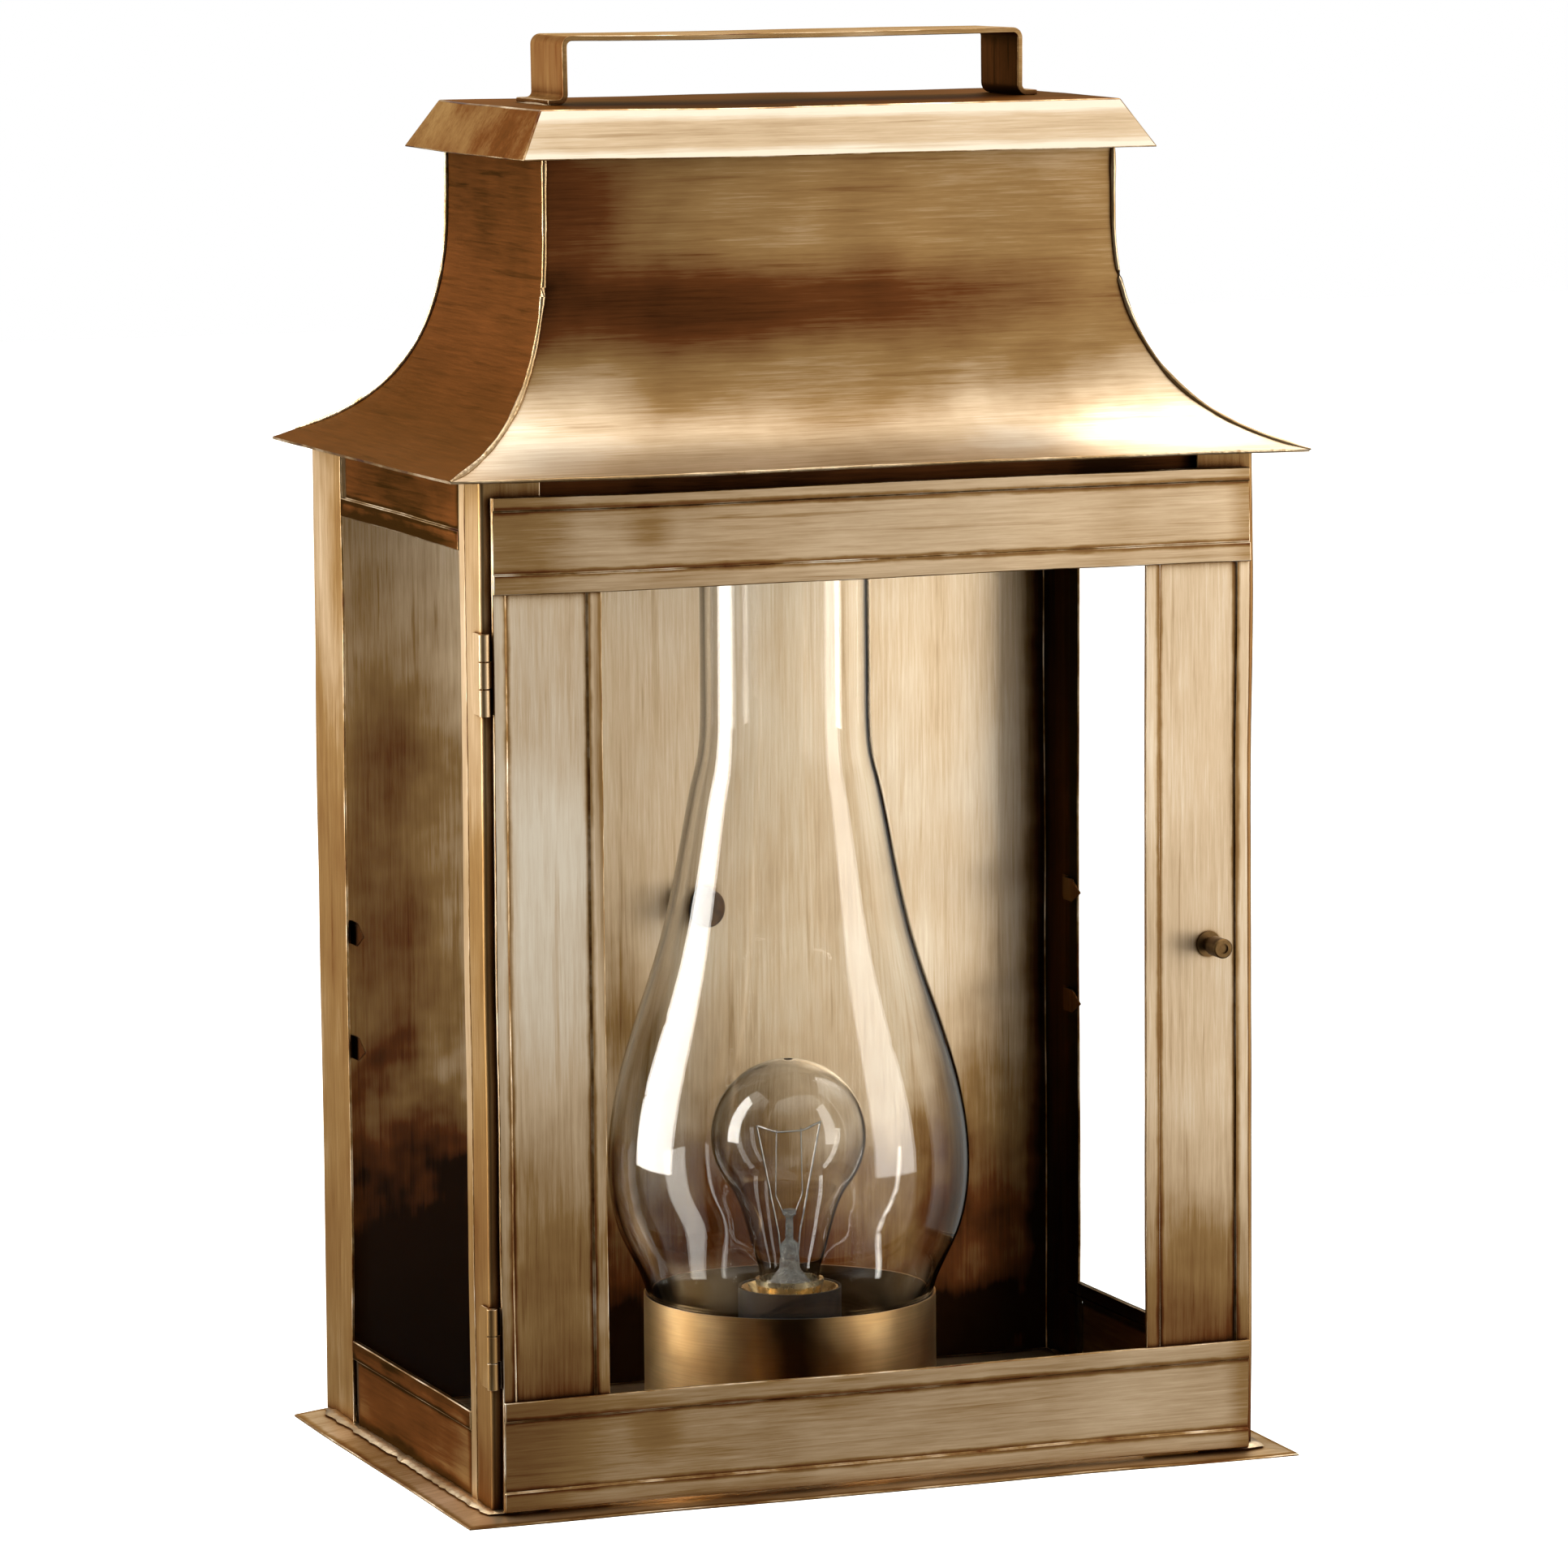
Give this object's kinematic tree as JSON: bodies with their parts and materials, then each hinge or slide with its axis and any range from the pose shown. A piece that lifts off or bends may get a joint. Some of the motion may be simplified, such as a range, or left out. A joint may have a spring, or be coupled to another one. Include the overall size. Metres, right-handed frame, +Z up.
{
  "type": "outdoor wall lantern",
  "caption": "Rectangular brushed brass wall lantern: hinged glazed door, bell-cast roof, vent cap, strap handle, and a glass lamp chimney round a screw-base bulb.",
  "frame": {"origin": "centre of the stud hole in the back plate, in the plane of the wall", "axes": "+Z up, +X to the right of someone facing the lantern, the wall at Y = 0 and the door towards -Y"},
  "size_m": [0.337, 0.2175, 0.5378],
  "materials": {
    "aged_brass": "antique brushed, lacquered",
    "hinge_brass": "antique brushed",
    "knob_brass": "dark antique, turned",
    "cup_brass": "brushed round the ring",
    "clear_glass": "clear sheet glass",
    "chimney_glass": "clear blown glass",
    "bulb_glass": "clear bulb glass",
    "bright_brass": "bright stamped brass",
    "dark_porcelain": "dark moulded insulator",
    "plated_steel": "zinc plated or bare wire",
    "black_rubber": "matt moulded rubber"
  },
  "bodies": {
    "lantern": {"back_plate": "aged_brass", "base_plate": "aged_brass", "cap": "aged_brass", "cap_brackets": "aged_brass", "chimney_cup_floor": "cup_brass", "chimney_cup_ring": "cup_brass", "front_post_left": "aged_brass", "front_post_right": "aged_brass", "glazing_channel_left": "aged_brass", "glazing_channel_right": "aged_brass", "handle": "aged_brass", "header": "aged_brass", "hinge_pin_lower": "hinge_brass", "hinge_pin_upper": "hinge_brass", "hinge_post_leaf_lower": "hinge_brass", "hinge_post_leaf_upper": "hinge_brass", "lamp_pipe": "plated_steel", "mounting_seal": "black_rubber", "pipe_nuts": "plated_steel", "roof_front": "aged_brass", "roof_left": "aged_brass", "roof_rear": "aged_brass", "roof_right": "aged_brass", "side_bottom_rail_left": "aged_brass", "side_bottom_rail_right": "aged_brass", "side_glass_clips_left": "hinge_brass", "side_glass_clips_right": "hinge_brass", "side_glass_left": "clear_glass", "side_glass_right": "clear_glass", "side_top_rail_left": "aged_brass", "side_top_rail_right": "aged_brass", "socket_body": "dark_porcelain", "socket_centre_contact": "bright_brass", "socket_screw_shell": "bright_brass", "socket_terminal_screws": "bright_brass", "top_frame": "aged_brass", "wire_bushing": "black_rubber"},
    "door": {"door_stile_left": "aged_brass", "door_stile_right": "aged_brass", "door_bottom_rail": "aged_brass", "door_top_rail": "aged_brass", "door_glass": "clear_glass", "door_glass_clips": "hinge_brass", "hinge_door_leaf_upper": "hinge_brass", "hinge_door_leaf_lower": "hinge_brass"},
    "latch": {"latch_knob": "knob_brass", "latch_washer": "hinge_brass", "latch_spindle": "hinge_brass", "latch_tongue": "hinge_brass"},
    "chimney": {"chimney_glass": "chimney_glass"},
    "bulb": {"bulb_glass": "bulb_glass", "bulb_screw_cap": "bright_brass", "bulb_insulator": "dark_porcelain", "bulb_contact": "bright_brass", "bulb_stem": "bulb_glass", "bulb_support_wires": "plated_steel", "bulb_filament": "plated_steel"},
    "knob": {"mounting_knob": "knob_brass"}
  },
  "joints": [
    {"name": "door_hinge", "type": "hinge", "parent": "lantern", "child": "door", "pos_m": [-0.1525, -0.2034, 0], "axis": [0, 0, -1], "range_deg": [0, 180]},
    {"name": "latch_turn", "type": "hinge", "parent": "door", "child": "latch", "pos_m": [0.133, -0.2034, 0.0036], "axis": [0, -1, 0], "range_deg": [0, 90]},
    {"name": "chimney_lift", "type": "slide", "parent": "lantern", "child": "chimney", "axis": [0, 0, 1], "range_m": [0, 0.145]},
    {"name": "bulb_turn", "type": "hinge", "parent": "lantern", "child": "bulb", "pos_m": [0, -0.108, -0.133], "axis": [0, 0, 1], "continuous": true},
    {"name": "knob_turn", "type": "hinge", "parent": "lantern", "child": "knob", "pos_m": [0, -0.009, 0], "axis": [0, 1, 0], "continuous": true}
  ]
}
